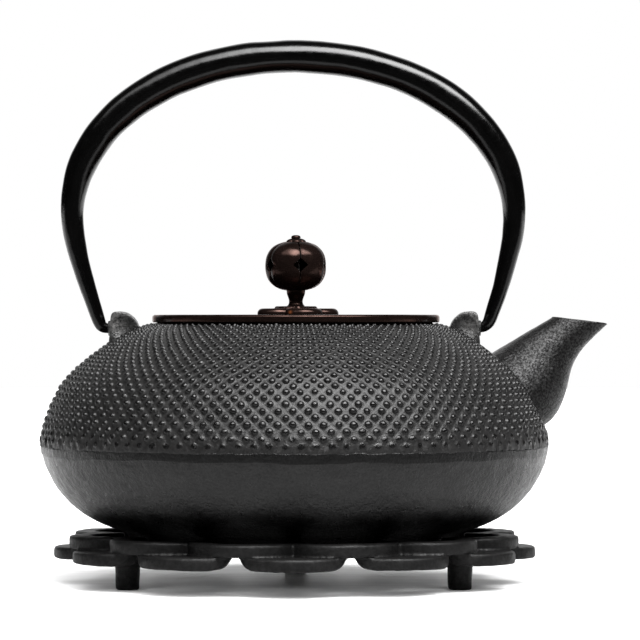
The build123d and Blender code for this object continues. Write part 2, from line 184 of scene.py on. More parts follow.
def smooth_curve(points, count, start=None, end=None):
    """count points, evenly spaced, on the smooth curve through points, with end directions."""
    p = np.asarray(points, float)
    h = np.linalg.norm(np.diff(p, axis=0), axis=1)
    n = len(p)
    a, b = np.zeros((n, n)), np.zeros_like(p)
    for i in range(1, n - 1):
        a[i, i - 1], a[i, i], a[i, i + 1] = 1 / h[i - 1], 2 / h[i - 1] + 2 / h[i], 1 / h[i]
        b[i] = 3 * ((p[i] - p[i - 1]) / h[i - 1] ** 2 + (p[i + 1] - p[i]) / h[i] ** 2)
    ends = ((0, 1, start, (p[1] - p[0]) / h[0]), (-1, -2, end, (p[-1] - p[-2]) / h[-1]))
    for row, other, way, chord in ends:
        if way is None:
            a[row, row], a[row, other], b[row] = 2, 1, 3 * chord
        else:
            a[row, row], b[row] = 1, np.asarray(way, float) / np.linalg.norm(way)
    slope = np.linalg.solve(a, b)
    fine = []
    for i in range(n - 1):
        t = np.linspace(0, 1, 60, endpoint=i == n - 2)[:, None]
        fine.append(
            (2 * t**3 - 3 * t**2 + 1) * p[i]
            + (t**3 - 2 * t**2 + t) * h[i] * slope[i]
            + (3 * t**2 - 2 * t**3) * p[i + 1]
            + (t**3 - t**2) * h[i] * slope[i + 1]
        )
    return even(np.vstack(fine), count)


def run_length(points):
    steps = np.linalg.norm(np.diff(points, axis=0), axis=1)
    return np.concatenate([[0], np.cumsum(steps)])


def even(points, count):
    """The same line, as count evenly spaced points."""
    length = run_length(points)
    at = np.linspace(0, length[-1], count)
    return np.stack([np.interp(at, length, points[:, k]) for k in range(points.shape[1])], 1)


def corner(centre, radius, first, last, count):
    """An arc of a (radius, height) outline, from angle first to last in degrees."""
    t = np.radians(np.linspace(first, last, count))
    return list(np.stack([centre[0] + radius * np.cos(t), centre[1] + radius * np.sin(t)], 1))


def normals(points):
    """Unit normals of an outline, to its left."""
    way = np.gradient(points, axis=0)
    way /= np.linalg.norm(way, axis=1)[:, None]
    return np.stack([-way[:, 1], way[:, 0]], 1)


# ============================== Meshes


def place(points):
    """Millimetres from the body's axis to metres of the frame."""
    return (np.asarray(points, float) + (AXIS_X, 0, 0)) * MM


def write_points(mesh, points):
    mesh.vertices.foreach_set("co", place(points).astype(np.float32).ravel())
    mesh.update()


def signed_volume(points, faces):
    total = 0.0
    for f in faces:
        a = points[f[:, 0]]
        for i in range(1, f.shape[1] - 1):
            total += np.einsum("ij,ij->", a, np.cross(points[f[:, i]], points[f[:, i + 1]]))
    return total


def make_mesh(name, points, faces, shift=0.0):
    """A closed mesh. faces is a list of index arrays, each of triangles or of quads."""
    points = np.asarray(points, float) + (shift, 0, 0)
    if signed_volume(points, faces) < 0:
        faces = [f[:, ::-1] for f in faces]
    mesh = bpy.data.meshes.new(name)
    mesh.vertices.add(len(points))
    write_points(mesh, points)
    sizes = np.concatenate([np.full(len(f), f.shape[1]) for f in faces])
    corners = np.concatenate([f.ravel() for f in faces])
    mesh.loops.add(len(corners))
    mesh.loops.foreach_set("vertex_index", corners.astype(np.int32))
    mesh.polygons.add(len(sizes))
    starts = np.concatenate([[0], np.cumsum(sizes)[:-1]])
    mesh.polygons.foreach_set("loop_start", starts.astype(np.int32))
    mesh.update(calc_edges=True)
    mesh.validate()
    return mesh


def show(name, data):
    """An object of the scene, made of a mesh, a lamp or a lens."""
    made = bpy.data.objects.new(name, data)
    bpy.context.scene.collection.objects.link(made)
    return made


def add_piece(name, mesh, body, material, replaces=(), sharp=60):
    """Shows a mesh as one piece that rides on a CAD body."""
    mesh.polygons.foreach_set("use_smooth", np.full(len(mesh.polygons), True))
    mesh.set_sharp_from_angle(angle=radians(sharp))
    mesh.materials.clear()
    mesh.materials.append(material)
    piece = show(name, mesh)
    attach(piece, body)
    if replaces:
        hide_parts(*replaces)
    return piece


def grid_quads(rows, columns, wrap_rows):
    """Quads of a grid of vertices stored row after row, joined end to end in each row."""
    r = np.arange(rows if wrap_rows else rows - 1)
    rr, cc = np.meshgrid(r, np.arange(columns), indexing="ij")
    up, right = (rr + 1) % rows, (cc + 1) % columns
    this, above = rr * columns, up * columns
    return np.stack([this + cc, this + right, above + right, above + cc], -1).reshape(-1, 4)


def fan(ring_start, columns, centre, flip):
    i = np.arange(columns)
    tri = np.stack([ring_start + i, ring_start + (i + 1) % columns, np.full(columns, centre)], 1)
    return tri[:, ::-1] if flip else tri


def loft(rings, closed=False):
    """Points and faces through rings (rows x columns x 3), capped or joined end to end."""
    rings = np.asarray(rings, float)
    rows, columns = rings.shape[:2]
    points = rings.reshape(-1, 3)
    faces = [grid_quads(rows, columns, closed)]
    if not closed:
        n = len(points)
        points = np.vstack([points, rings[0].mean(0), rings[-1].mean(0)])
        faces.append(fan(0, columns, n, True))
        faces.append(fan(n - columns, columns, n + 1, False))
    return points, faces


def turns(count):
    """Evenly spaced angles all the way round."""
    return np.arange(count) * 2 * pi / count


def spun(outline, segments, closed=True):
    """Points and faces of an outline of (radius, height) turned about the axis. A closed
    outline gives a ring-shaped solid. An open one has its first and last points on the axis."""
    outline = np.asarray(outline, float)
    body = outline if closed else outline[1:-1]
    turn = turns(segments)
    r, z = body[:, :1], body[:, 1:]
    return loft(np.stack([r * np.cos(turn), r * np.sin(turn), z + 0 * turn], -1), closed)


def oval(columns, along, across):
    """Points round an oval, as distances along and across it."""
    return along * np.cos(turns(columns)), across * np.sin(turns(columns))


def joined(*parts):
    """Several (points, faces) as one."""
    points, faces, start = [], [], 0
    for p, f in parts:
        points.append(p)
        faces += [a + start for a in f]
        start += len(p)
    return np.vstack(points), faces


def bake(obj):
    """Applies an object's modifiers to its mesh."""
    bpy.context.view_layer.update()
    evaluated = obj.evaluated_get(bpy.context.evaluated_depsgraph_get())
    mesh = bpy.data.meshes.new_from_object(evaluated)
    obj.modifiers.clear()
    obj.data = mesh


def cut(obj, operation, shape):
    """A boolean with a solid of points and faces, which isn't kept."""
    other = show("cutter", make_mesh("cutter", *shape))
    step = obj.modifiers.new("cut", "BOOLEAN")
    step.operation, step.solver, step.object = operation, "MANIFOLD", other
    bake(obj)
    bpy.data.objects.remove(other)


def take_mesh(obj):
    """The mesh of an object, which is taken out of the scene."""
    mesh = obj.data
    bpy.data.objects.remove(obj)
    return mesh


def soften(obj, voxel, rounds):
    """Rebuilds a mesh on an even grid and eases its edges, as casting does."""
    grid = obj.modifiers.new("grid", "REMESH")
    grid.mode, grid.voxel_size = "VOXEL", voxel * MM
    ease = obj.modifiers.new("ease", "SMOOTH")
    ease.factor, ease.iterations = 0.5, rounds
    bake(obj)


def read_points(mesh):
    co = np.zeros(len(mesh.vertices) * 3, np.float32)
    mesh.vertices.foreach_get("co", co)
    return co.reshape(-1, 3).astype(float) / MM - (AXIS_X, 0, 0)


def roughen(mesh, layers, seed, where=None):
    """Moves points along their normals by noise. layers are (amount, size) in millimetres."""
    co = read_points(mesh)
    way = np.zeros(len(mesh.vertices) * 3, np.float32)
    mesh.vertex_normals.foreach_get("vector", way)
    way = way.reshape(-1, 3)
    waves = ((amount, size, seed + i) for i, (amount, size) in enumerate(layers))
    move = sum(amount * lattice_noise(co, size, own_seed) for amount, size, own_seed in waves)
    if where is not None:
        move = move * where(co)
    write_points(mesh, co + way * move[:, None])
    return mesh


# ============================== Materials


class Shading:
    """The nodes of one material or world. where is the point that is shaded."""

    def __init__(self, owner):
        owner.use_nodes = True
        self.tree = owner.node_tree
        self.tree.nodes.clear()
        self.where = self.add("TexCoord").outputs["Object"]

    def add(self, kind, inputs=None, **settings):
        """A node with its settings. inputs maps a socket's name or place to what goes in."""
        made = self.tree.nodes.new("ShaderNode" + kind)
        for key, value in settings.items():
            setattr(made, key, value)
        for key, value in (inputs or {}).items():
            if isinstance(value, bpy.types.NodeSocket):
                self.tree.links.new(value, made.inputs[key])
            else:
                made.inputs[key].default_value = value
        return made

    def attribute(self, name):
        return self.add("Attribute", attribute_name=name).outputs["Fac"]

    def stretch(self, scale, turn=(0, 0, 0)):
        inputs = {"Vector": self.where, "Scale": scale, "Rotation": turn}
        return self.add("Mapping", inputs).outputs[0]

    def noise(self, scale, detail=3.0, rough=0.55, warp=0.0, at=None):
        inputs = {"Vector": self.where if at is None else at, "Scale": scale, "Detail": detail}
        inputs |= {"Roughness": rough, "Distortion": warp}
        return self.add("TexNoise", inputs).outputs["Fac"]

    def maths(self, operation, a, b=0.0):
        return self.add("Math", {0: a, 1: b}, operation=operation).outputs[0]

    def plus(self, a, b):
        return self.maths("ADD", a, b)

    def times(self, a, b):
        return self.maths("MULTIPLY", a, b)

    def minus(self, a, b):
        return self.maths("SUBTRACT", a, b)

    def mixed(self, *parts):
        """The sum of parts, each a value and its weight."""
        total = 0.0
        for value, weight in parts:
            total = self.plus(total, self.times(value, weight))
        return total

    def span(self, value, low, high, a, b):
        """value from low to high, turned smoothly into a to b."""
        inputs = {"Value": value, "From Min": low, "From Max": high, "To Min": a, "To Max": b}
        return self.add("MapRange", inputs, interpolation_type="SMOOTHSTEP").outputs[0]

    def uneven(self, scale, a, b, detail=4):
        """A value that wanders between a and b."""
        return self.span(self.noise(scale, detail), 0.3, 0.7, a, b)

    def blend(self, share, a, b):
        a, b = (v if isinstance(v, bpy.types.NodeSocket) else (*v, 1.0) for v in (a, b))
        return self.add("Mix", {"Factor": share, 6: a, 7: b}, data_type="RGBA").outputs[2]

    def two_tone(self, tone, dark, light, low=0.35, high=0.65):
        """Dark where the tone is at most low, light where it is at least high."""
        return self.blend(self.span(tone, low, high, 0, 1), dark, light)

    def bumps(self, *layers):
        """Bumps one over the other, each a height and its depth in millimetres."""
        inputs = {"Strength": 1.0}
        for height, depth in layers:
            inputs |= {"Height": height, "Distance": depth * MM}
            inputs["Normal"] = self.add("Bump", inputs).outputs[0]
        return inputs["Normal"]


def surface(name, fill):
    """A material whose fill function returns the inputs of a Principled shader."""
    made = bpy.data.materials.new(name)
    t = Shading(made)
    t.add("OutputMaterial", {"Surface": t.add("BsdfPrincipled", fill(t)).outputs[0]})
    return made


def looks(colour, rough, skin, gloss=0.5):
    return {"Base Color": colour, "Roughness": rough, "Normal": skin, "Specular IOR Level": gloss}


def studded_iron(t):
    crown = t.attribute("crown")
    tone = t.mixed((t.noise(1500, 2), 0.5), (t.noise(160, 4), 0.5))
    ground = t.two_tone(tone, (0.005, 0.0048, 0.0048), (0.016, 0.0155, 0.0153))
    # Painted shade: the studs are coloured darker than the ground between them, for their steep shaded
    # sides.
    stud = t.two_tone(tone, (0.002, 0.0019, 0.0019), (0.005, 0.0048, 0.0048))
    sheen = t.uneven(500, -0.05, 0.07, 3)
    rough = t.plus(t.span(crown, 0, 1, 0.43, 0.21), sheen)
    skin = t.bumps((t.noise(1300, 3, 0.6), 0.16), (t.noise(3200, 2), 0.05))
    return looks(t.blend(crown, ground, stud), rough, skin)


def matt_iron(dark, light, shine, fleck, depths):
    """Plain cast skin: flow marks, casting grain, and painted shade that darkens the underside and the
    plain band under the studs. fleck is how far the shine varies, and depths are those of flow
    marks, lumps and grain in millimetres."""

    def fill(t):
        flow = t.noise(1.0, 4, 0.6, 0.6, t.stretch((60, 60, 260), (0.0, 0.35, 0.0)))
        grain, patch = t.noise(1700, 3, 0.6), t.noise(90, 4)
        tone = t.mixed((grain, 0.35), (patch, 0.25), (flow, 0.4))
        colour = t.two_tone(tone, dark, light, 0.38, 0.62)
        plain = t.attribute("plain")
        # Painted shade: the plain band just under the studs is darkened here, and made less shiny
        # below.
        colour = t.blend(plain, colour, (0.003, 0.0029, 0.0029))
        scuffs = t.span(t.noise(900, 4, 0.7), 0.35, 0.6, 0.1, 1)
        worn = t.times(t.attribute("worn"), scuffs)
        colour = t.blend(worn, colour, (0.18, 0.177, 0.174))
        height = t.add("SeparateXYZ", {0: t.where}).outputs[2]
        height = t.plus(height, t.uneven(120, -0.0015, 0.0015))
        # Painted shade: below these heights the colour goes near black and the shine is taken away.
        painted_underside_shade = t.span(height, UNDERSIDE_SHADE_FULL_Z, UNDERSIDE_SHADE_NONE_Z, 1, 0)
        colour = t.blend(painted_underside_shade, colour, (0.0012, 0.0011, 0.0011))
        dull = t.plus(t.times(painted_underside_shade, 0.85), t.times(plain, 0.4))
        speckle = t.span(t.noise(1250, 3, 0.6), 0.38, 0.62, 1 - fleck, 1 + fleck)
        gloss = t.times(t.times(t.minus(1.0, dull), shine), speckle)
        skin = t.bumps(*zip((flow, t.noise(420, 4, 0.6), t.noise(1100, 4, 0.65)), depths))
        return looks(colour, t.uneven(300, 0.27, 0.38), skin, gloss)

    return fill


def trivet_iron(t):
    tone = t.mixed((t.noise(1600, 3), 0.5), (t.noise(120, 4), 0.5))
    colour = t.two_tone(tone, (0.004, 0.0039, 0.0039), (0.010, 0.0097, 0.0097))
    gloss = t.span(t.noise(650, 4, 0.65), 0.36, 0.64, 0.20, 0.32)
    skin = t.bumps((t.noise(900, 4, 0.6), 0.12), (t.noise(2600, 2), 0.05))
    return looks(colour, t.uneven(350, 0.42, 0.55), skin, gloss)


def lacquer(t):
    cloud = t.noise(60, 4)
    colour = t.two_tone(cloud, (0.0003, 0.0003, 0.0003), (0.0012, 0.0011, 0.0011), 0.3, 0.7)
    skin = t.bumps((t.noise(110, 2), 0.05), (t.noise(1500, 3, 0.7), 0.03))
    return looks(colour, t.uneven(420, 0.11, 0.19), skin)


def copper(dark, light, low_rough, high_rough, bare, edge):
    """Copper under a brown skin. bare is how much of the metal itself shows, and edge is
    its tint at a grazing angle."""

    def fill(t):
        cloud = t.noise(140, 5, 0.6)
        tone = t.mixed((cloud, 0.7), (t.noise(1900, 2), 0.3))
        colour = t.two_tone(tone, dark, light)
        colour = t.blend(t.attribute("worn"), colour, (0.95, 0.28, 0.09))
        rough = t.uneven(350, low_rough, high_rough)
        skin = t.bumps((t.noise(420, 3), 0.03), (t.noise(2400, 2), 0.012))
        # Painted shade: where inside is marked, on the bud's inner faces, the copper is painted black
        # and loses its metal and shine.
        unshaded_faces = t.minus(1.0, t.attribute("inside"))
        colour = t.blend(unshaded_faces, (0.0, 0.0, 0.0), colour)
        metal = t.times(unshaded_faces, t.span(cloud, 0.3, 0.75, 0.7 * bare, bare))
        tint = {"Metallic": metal, "Specular Tint": edge + (1.0,)}
        return looks(colour, rough, skin, t.times(unshaded_faces, 0.5)) | tint

    return fill


BODY_TONES = ((0.005, 0.0049, 0.0049), (0.013, 0.0127, 0.0127))
SPOUT_TONES = ((0.002, 0.0019, 0.0019), (0.005, 0.0048, 0.0048))
PATINA_TONES = ((0.018, 0.0110, 0.0094), (0.041, 0.0250, 0.0212))
BARE_TONES = ((0.30, 0.12, 0.06), (0.50, 0.22, 0.12))

STUDDED = surface("cast_iron_studded", studded_iron)
MATT, SPOUT_IRON, TRIVET_IRON = (
    surface(name, fill)
    for name, fill in (
        ("cast_iron_matt", matt_iron(*BODY_TONES, 0.52, 0.12, (0.16, 0.40, 0.30))),
        ("cast_iron_spout", matt_iron(*SPOUT_TONES, 0.30, 0.65, (0.04, 0.10, 0.30))),
        ("trivet_iron", trivet_iron),
    )
)
LACQUER = surface("black_lacquer", lacquer)
PATINA_SKIN = copper(*PATINA_TONES, 0.12, 0.23, 0.9, (0.26, 0.16, 0.13))
PATINA = surface("patinated_copper", PATINA_SKIN)
BARE_SKIN = copper(*BARE_TONES, 0.30, 0.45, 1.0, (0.9, 0.6, 0.5))
BARE = surface("bare_copper", BARE_SKIN)


def mark(mesh, name, values):
    made = mesh.attributes.new(name, "FLOAT", "POINT")
    made.data.foreach_set("value", np.asarray(values, np.float32))


# ============================== Kettle body


def outer_outline(count):
    """The body's outer outline from the lip down to the foot ring's top."""
    return smooth_curve(SHOULDER + BELLY, count, (1, -0.12), (-1, -0.3))


def above_parting(outline):
    split = int(np.argmax(outline[:, 1] < BAND_TOP_Z - 5.0))
    return outline[:split][::-1]


def lattice_levels():
    """Tables from a lattice level, in half levels, to the ground under it."""
    ground = above_parting(outer_outline(4000))
    length = run_length(ground)
    start = float(np.interp(LAST_ROW_Z, ground[:, 1], length))
    at, levels = [start], [0.0]
    for way in (-1, 1):
        s, k = start, 0.0
        while 0 < s < length[-1]:
            r = np.interp(s, length, ground[:, 0])
            s += way * ROW_SHARE * 2 * pi * r / STUDS_PER_RING / (2 * ROW_LEVELS)
            k += way * 0.5
            at.append(s)
            levels.append(k)
    order = np.argsort(levels)
    levels, at = np.array(levels)[order], np.array(at)[order]
    side = -normals(ground)
    return levels, [np.interp(at, length, column) for column in (*ground.T, *side.T)]


LEVELS, GROUND = lattice_levels()
FIRST_ROW = -2
LAST_ROW = int((LEVELS[-1] - 4.5) // ROW_LEVELS)


def on_ground(steps, level, height):
    """Points in millimetres at lattice places, lifted square to the ground by height."""
    r, z, out_r, out_z = (np.interp(level, LEVELS, c) for c in GROUND)
    turn = steps * 2 * pi / (STEPS * STUDS_PER_RING)
    lifted = r + out_r * height
    return np.stack([lifted * np.cos(turn), lifted * np.sin(turn), z + out_z * height], -1)


def ground_height(steps, level):
    """Cast skin between the studs, with ragged ridges where the studs melt away."""
    flat = on_ground(steps, level, 0.0)
    p = flat.reshape(-1, 3)
    height = 0.07 * lattice_noise(p, 2.6, 3) + 0.13 * lattice_noise(p, 14.0, 4)
    z = p[:, 2]
    ragged = fade((LAST_ROW_Z + 3.6 - z) / 5.0) * fade((z - BAND_TOP_Z + 0.3) / 1.0)
    ridge_at = np.stack([np.arctan2(p[:, 1], p[:, 0]) * BELLY_R, 0.33 * z, 0 * z], -1)
    ridges = 0.30 * lattice_noise(ridge_at, 1.25, 9) + 0.16 * lattice_noise(ridge_at, 0.7, 10)
    height += ragged * ridges
    height -= 0.7 * fade((BAND_TOP_Z + 0.5 - z) / 1.6)
    return height.reshape(flat.shape[:-1])


def stud_places(sector):
    """Row, and place across and up the lattice, of each stud in a quarter of the body."""
    per = STUDS_PER_RING // SECTORS
    first = per * sector - per // 2
    rows = np.arange(FIRST_ROW, LAST_ROW + 1)
    row, stud = np.meshgrid(rows, np.arange(first, first + per), indexing="ij")
    row, stud = row.ravel(), stud.ravel()
    return row, STEPS * stud + STEPS / 2 * (row % 2), float(ROW_LEVELS) * row


def stud_cells(centre_u, centre_l):
    """Places of the points on the rims of the studs' diamond cells, each place once, and
    for each stud the numbers of the 16 round its own cell."""
    i = np.arange(4)
    edge_u = np.concatenate([4 - i, -i, -4 + i, i])
    edge_l = np.concatenate([i, 4 - i, -i, -4 + i])
    at_u = (centre_u[:, None] + edge_u).astype(int)
    at_l = (centre_l[:, None] + edge_l).astype(int)
    keys = (at_l + 50) * 100000 + (at_u + 2000)
    _, first, index = np.unique(keys, return_index=True, return_inverse=True)
    return (a.ravel()[first].astype(float) for a in (at_u, at_l)), index.reshape(-1, SIDES)


def stud_tallness(tall, melt, row, centre_u, centre_l):
    """Height shares: the lowest rows melt away, the studs by the lid stand taller, and
    those under the spout's foot are low."""
    tall = np.where(row == -2, 0.0, tall)
    tall = np.where(row == -1, 0.05 + 0.3 * melt, tall)
    tall = np.where(row == 0, 0.3 + 0.4 * melt, tall)
    tall = np.where(row == 1, 0.6 + 0.3 * melt, tall)
    tall = tall * (1 + 0.25 * fade((row - 16) / 8))
    y, z = (on_ground(centre_u, centre_l, 0 * centre_u)[:, k] for k in (1, 2))
    half_wide, middle_z, half_high = SPOUT_FOOT
    off_spout = np.hypot(y / half_wide, (z - middle_z) / half_high)
    front = np.cos(centre_u * 2 * pi / (STEPS * STUDS_PER_RING)) > 0
    return np.where(front, tall * (0.15 + 0.85 * fade((off_spout - 0.95) / 0.35)), tall)


def stud_faces(index, n_rim):
    """Faces over points in the order rim, inner rim, rings of each stud, tops, middles of
    the inside. The open edges of the sector are walled up."""
    count = len(index)
    top_start = 2 * n_rim + count * len(RINGS) * SIDES
    ids = np.arange(2 * n_rim, top_start).reshape(count, len(RINGS), SIDES)
    around = (np.arange(SIDES) + 1) % SIDES
    quads = [np.stack([index, index[:, around], ids[:, 0][:, around], ids[:, 0]], -1)]
    for k in range(len(RINGS) - 1):
        a, b = ids[:, k], ids[:, k + 1]
        quads.append(np.stack([a, a[:, around], b[:, around], b], -1))
    quads = np.concatenate([q.reshape(-1, 4) for q in quads])
    inside = ids[:, -1]
    top_ids = np.repeat((top_start + np.arange(count))[:, None], SIDES, 1)
    middle_ids = top_ids + count
    caps = np.stack([inside, inside[:, around], top_ids], -1).reshape(-1, 3)
    backs = np.stack([index[:, around] + n_rim, index + n_rim, middle_ids], -1).reshape(-1, 3)
    a, b = index.ravel(), index[:, around].ravel()
    pair = np.minimum(a, b) * 1000003 + np.maximum(a, b)
    _, at, uses = np.unique(pair, return_index=True, return_counts=True)
    a, b = a[at[uses == 1]], b[at[uses == 1]]
    return [quads, caps, backs, np.stack([b, a, a + n_rim, b + n_rim], -1)]


def studded_sector(sector):
    """Points and faces of a quarter of the studded shell, and how far up a stud each point is."""
    rng = np.random.default_rng(20 + sector)
    row, centre_u, centre_l = stud_places(sector)
    (rim_u, rim_l), index = stud_cells(centre_u, centre_l)
    count = len(row)
    size = rng.uniform(0.88, 1.1, count)
    tall = rng.uniform(0.78, 1.12, count)
    melt = rng.uniform(0, 1, count)
    shift_u, shift_l = rng.uniform(-0.26, 0.26, (2, count))
    lean, squeeze = rng.uniform(0, 2 * pi, (2, count))

    spacing = 2 * pi * np.interp(centre_l, LEVELS, GROUND[0]) / STUDS_PER_RING
    peak = STUD_HEIGHT_SHARE * spacing * stud_tallness(tall, melt, row, centre_u, centre_l)
    turn = turns(SIDES)
    shape = 1 + 0.05 * np.cos(turn - lean[:, None]) + 0.05 * np.cos(2 * turn - squeeze[:, None])
    radius = STUD_R_SHARE * STEPS * size[:, None] * shape
    top_u, top_l = centre_u + shift_u, centre_l + shift_l
    ring_u = np.stack([top_u[:, None] + radius * f * np.cos(turn) for f, _ in RINGS], 1)
    ring_l = np.stack([top_l[:, None] + radius * f * np.sin(turn) for f, _ in RINGS], 1)
    climb = np.array([h for _, h in RINGS])
    rise = climb[None, :, None] * peak[:, None, None]
    rings = on_ground(ring_u, ring_l, ground_height(ring_u, ring_l) + rise)
    tops = on_ground(top_u, top_l, ground_height(top_u, top_l) + peak)
    rim = on_ground(rim_u, rim_l, ground_height(rim_u, rim_l))
    inner = on_ground(rim_u, rim_l, 0 * rim_u - WALL)
    middle = on_ground(centre_u, centre_l, 0 * centre_u - WALL)

    solid = np.where(row == FIRST_ROW, 0.0, 1.0)
    sides = np.repeat(solid, SIDES * len(RINGS)) * np.tile(np.repeat(climb, SIDES), count)
    crown = np.concatenate([np.zeros(2 * len(rim)), sides, solid, np.zeros(count)])
    points = np.vstack([rim, inner, rings.reshape(-1, 3), tops, middle])
    return (points, stud_faces(index, len(rim))), crown


def spout_ring(section, inwards):
    top_x, top_z, under_x, under_z, half_width, wall = section
    middle = np.array([(top_x + under_x) / 2, 0, (top_z + under_z) / 2])
    long = np.array([(under_x - top_x) / 2, 0, (under_z - top_z) / 2])
    half_long = np.linalg.norm(long)
    along, across = oval(96, half_long - inwards, half_width - inwards)
    return middle + along[:, None] * long / half_long + across[:, None] * np.array([0, 1, 0])


def spout_parts():
    """The spout's tube with a rounded mouth, and the bore through it."""
    sections = smooth_curve(np.array(SPOUT), 90)
    outside = [spout_ring(s, 0.0) for s in sections]
    inside = [spout_ring(s, s[5]) for s in sections]
    mouth = sections[-1]
    out_way = np.array([-(mouth[3] - mouth[1]), 0, mouth[2] - mouth[0]])
    out_way /= np.linalg.norm(out_way)
    half = mouth[5] / 2
    lip = []
    for angle in np.radians((30, 60, 90, 120, 150)):
        ring = spout_ring(mouth, half - half * cos(angle))
        lip.append(ring + out_way * half * 0.6 * sin(angle))
    tube = loft(outside + lip + inside[::-1], closed=True)
    bore = [spout_ring(s, s[5] - 0.02) for s in sections[:60]]
    first = bore[0] - (bore[1] - bore[0]) * 14
    return tube, loft([first] + bore)


def cavity():
    """The room inside the body, as a solid that trims the spout's foot."""
    outline = outer_outline(400)
    inner = outline - normals(outline) * WALL
    inner = inner[(inner[:, 1] < 91.0) & (inner[:, 1] > BASE_Z + FOOT_RECESS + WALL + 0.1)][::6]
    return spun(np.vstack([(0, inner[0, 1]), inner, (0, inner[-1, 1])]), 256, closed=False)


def build_shell():
    tube, bore = spout_parts()
    for sector in range(SECTORS):
        name = f"pot_shell_{sector + 1}"
        shape, crown = studded_sector(sector)
        mesh = make_mesh(name, *shape)
        mark(mesh, "crown", crown)
        if sector == 0:
            obj = show("drilled", mesh)
            cut(obj, "DIFFERENCE", bore)
            mesh = take_mesh(obj)
        add_piece(name, mesh, "pot", STUDDED, ["pot_body"], 78)
    obj = show("spout", make_mesh("spout", *tube))
    cut(obj, "DIFFERENCE", cavity())
    mesh = roughen(take_mesh(obj), [(0.10, 9.0), (0.05, 2.4)], 31)
    add_piece("pot_spout", mesh, "pot", SPOUT_IRON, sharp=50)


def belly_outline():
    """The plain lower half: outer wall, foot ring, floor and inner wall."""
    outline = outer_outline(3000)
    keep = outline[outline[:, 1] < LAST_ROW_Z + 1.5]
    high, low = BAND_TOP_Z + 0.9, BAND_LOW_Z - 1.6
    fine = keep[(keep[:, 1] > low) & (keep[:, 1] < high)]
    upper = even(keep[keep[:, 1] >= high], 8)
    lower = even(keep[keep[:, 1] <= low], 88)
    outer = np.vstack([upper, even(fine, 46)[1:-1], lower])
    recess_z = BASE_Z + FOOT_RECESS
    floor_z = recess_z + WALL
    foot = [(61.0, 18.6), (60.35, 17.8)]
    ring_in = FOOT_RING_R - FOOT_RING_WIDTH
    foot += corner((59.2, BASE_Z + 0.8), 0.8, 0, -90, 5)
    foot += [(57.0, BASE_Z), (54.5, BASE_Z), (ring_in + 0.5, BASE_Z)]
    foot += [(ring_in - 0.2, BASE_Z + 0.3), (ring_in - 1.0, recess_z)]
    foot += [(r, recess_z) for r in (46, 38, 30, 22, 14, 7)]
    inner = outer[::5] - normals(outer)[::5] * WALL
    inner = inner[inner[:, 1] > floor_z + 0.4][::-1]
    floor = [(r, floor_z) for r in (7, 14, 22, 30, 38, 46, 54)]
    return np.vstack([outer, foot, (0, recess_z), (0, floor_z), floor, inner])


def belly_skin(co):
    """Lumps of the cast skin, with the blow holes taken out."""
    skin = 0.10 * lattice_noise(co, 2.3, 41) + 0.12 * lattice_noise(co, 15.0, 42)
    skin += 0.07 * lattice_noise(co, 6.0, 43)
    for angle, z, size, depth in PITS:
        there = np.array([cos(radians(angle)), sin(radians(angle))])
        spot = np.array([*(there * np.interp(z, *outer_table())), z])
        skin -= depth * np.exp(-(((co - spot) ** 2).sum(1)) / size**2)
    return skin


def build_belly():
    outline = belly_outline()
    start = int(np.argmin(outline[:, 0]))
    ring = np.vstack([outline[start + 1 :], outline[: start + 1]])
    mesh = make_mesh("pot_belly", *spun(ring, 512, closed=False))
    co = read_points(mesh)
    x, y, z = co.T
    r = np.hypot(x, y)
    outside = fade((r - 61.0) / 3) * fade((z - 17.5) / 2)
    outside *= r > np.interp(z, *outer_table()) - 1.2
    flat = np.stack([x, y, 0 * r], -1)
    wander, fine_wander = lattice_noise(flat, 13.0, 51), lattice_noise(flat, 3.0, 52)
    left = fade((40 - x) / 110)
    edge = BAND_LOW_Z + 0.55 * wander + 0.12 * fine_wander
    below = fade((edge - z) / 0.35 + 0.5)
    step = -(0.06 + 0.22 * left) * below
    step -= 0.34 * fade((z - BAND_TOP_Z - 0.3 * fine_wander) / 0.6)
    move = outside * (step + belly_skin(co))
    grow = np.where(r > 0, (r + move) / np.maximum(r, 1e-6), 1.0)
    under = (1 - outside) * (0.04 * lattice_noise(co, 4.0, 44))
    lift = np.where(z > BASE_Z + 0.5, under, 0)
    write_points(mesh, np.stack([x * grow, y * grow, z + lift], -1))
    # plain marks the band just under the studs, which the material darkens as painted shade
    mark(mesh, "plain", outside * (1 - below))
    add_piece("pot_belly", mesh, "pot", MATT)


def outer_table():
    outline = outer_outline(400)[::-1]
    return outline[:, 1], outline[:, 0]


# (angle round the body, height, size, depth) of blow holes in the lower half
PITS = [
    (-131.0, 38.6, 1.0, 0.7), (-130.2, 35.9, 0.8, 0.5), (-62.0, 30.0, 0.7, 0.4), (24.0, 33.0, 0.9, 0.5),
    (95.0, 37.0, 0.9, 0.5), (163.0, 31.0, 0.8, 0.4), (215.0, 40.0, 0.7, 0.4),
]


def build_lip():
    outer = [(57.0, 92.05), (54.0, 93.0), (51.6, 93.6), (50.4, 93.95)]
    top = corner((49.7, 94.1), 0.6, 20, 90, 5) + corner((45.3, 93.9), 0.8, 90, 180, 6)
    inner = [(MOUTH_R, 92.6), (44.6, 91.2), (45.6, 90.7), (50.0, 90.1), (57.0, 88.6)]
    mesh = make_mesh("pot_lip", *spun(outer + top + inner, 320))
    roughen(mesh, [(0.04, 5.0)], 61)
    add_piece("pot_lip", mesh, "pot", MATT)


# ============================== Lugs


def prism(outline, spread):
    """A solid from an (x, z) outline, spread that far to both sides along Y."""
    x, z = np.asarray(outline, float).T
    return loft([np.stack([x, 0 * x + y, z], -1) for y in (-spread, spread)])


def ball(centre, radius):
    outline = np.array(corner((0, 0), radius, -90, 90, 33))
    outline[[0, -1], 0] = 0
    points, faces = spun(outline, 64, closed=False)
    return points + np.asarray(centre, float), faces


